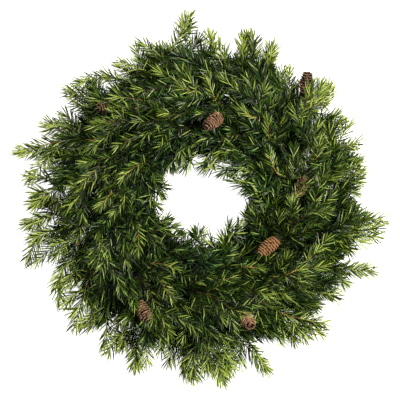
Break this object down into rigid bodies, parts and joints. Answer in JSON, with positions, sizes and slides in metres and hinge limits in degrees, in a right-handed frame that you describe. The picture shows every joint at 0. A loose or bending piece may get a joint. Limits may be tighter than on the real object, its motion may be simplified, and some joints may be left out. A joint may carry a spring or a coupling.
{
  "type": "evergreen wreath",
  "caption": "Fresh evergreen wreath of fir boughs bound to a round wire ring, with an open centre and small cones among the needles.",
  "frame": {"origin": "under the middle of the wreath's box, on the surface it lies on", "axes": "+Z out of the wreath's face, up as it lies on its back; +Y towards the top of the wreath as it hangs; +X to its right"},
  "size_m": [0.6032, 0.6108, 0.1],
  "materials": {
    "outer_needles": null,
    "face_needles": "waxy mid-green needles on a brown twig, lighter towards the tips",
    "inner_needles": "waxy dark green needles on a brown twig, lighter towards the tips",
    "cone": "dry woody scales, orange-brown with darker gaps",
    "ring_wire": "green lacquered steel wire",
    "binding_wire": "green lacquered florist's wire"
  },
  "bodies": {
    "root": {"back_bough_01": "outer_needles", "back_bough_02": "outer_needles", "back_bough_03": "outer_needles", "back_bough_04": "outer_needles", "back_bough_05": "outer_needles", "back_bough_06": "outer_needles", "back_bough_07": "outer_needles", "back_bough_08": "outer_needles", "back_bough_09": "outer_needles", "back_bough_10": "outer_needles", "back_bough_11": "outer_needles", "back_bough_12": "outer_needles", "back_bough_13": "outer_needles", "back_bough_14": "outer_needles", "back_bough_15": "outer_needles", "binding_wire": "binding_wire", "cone_01": "cone", "cone_02": "cone", "cone_03": "cone", "cone_04": "cone", "cone_05": "cone", "cone_06": "cone", "cone_07": "cone", "cone_wire_01": "binding_wire", "cone_wire_02": "binding_wire", "cone_wire_03": "binding_wire", "cone_wire_04": "binding_wire", "cone_wire_05": "binding_wire", "cone_wire_06": "binding_wire", "cone_wire_07": "binding_wire", "inner_bough_01": "inner_needles", "inner_bough_02": "inner_needles", "inner_bough_03": "inner_needles", "inner_bough_04": "inner_needles", "inner_bough_05": "inner_needles", "inner_bough_06": "inner_needles", "inner_bough_07": "inner_needles", "inner_bough_08": "inner_needles", "inner_bough_09": "inner_needles", "middle_bough_01": "face_needles", "middle_bough_02": "face_needles", "middle_bough_03": "face_needles", "middle_bough_04": "face_needles", "middle_bough_05": "face_needles", "middle_bough_06": "face_needles", "middle_bough_07": "face_needles", "middle_bough_08": "face_needles", "middle_bough_09": "face_needles", "middle_bough_10": "face_needles", "outer_bough_01": "outer_needles", "outer_bough_02": "outer_needles", "outer_bough_03": "outer_needles", "outer_bough_04": "outer_needles", "outer_bough_05": "outer_needles", "outer_bough_06": "outer_needles", "outer_bough_07": "outer_needles", "outer_bough_08": "outer_needles", "outer_bough_09": "outer_needles", "outer_bough_10": "outer_needles", "wire_ring": "ring_wire"}
  },
  "joints": []
}
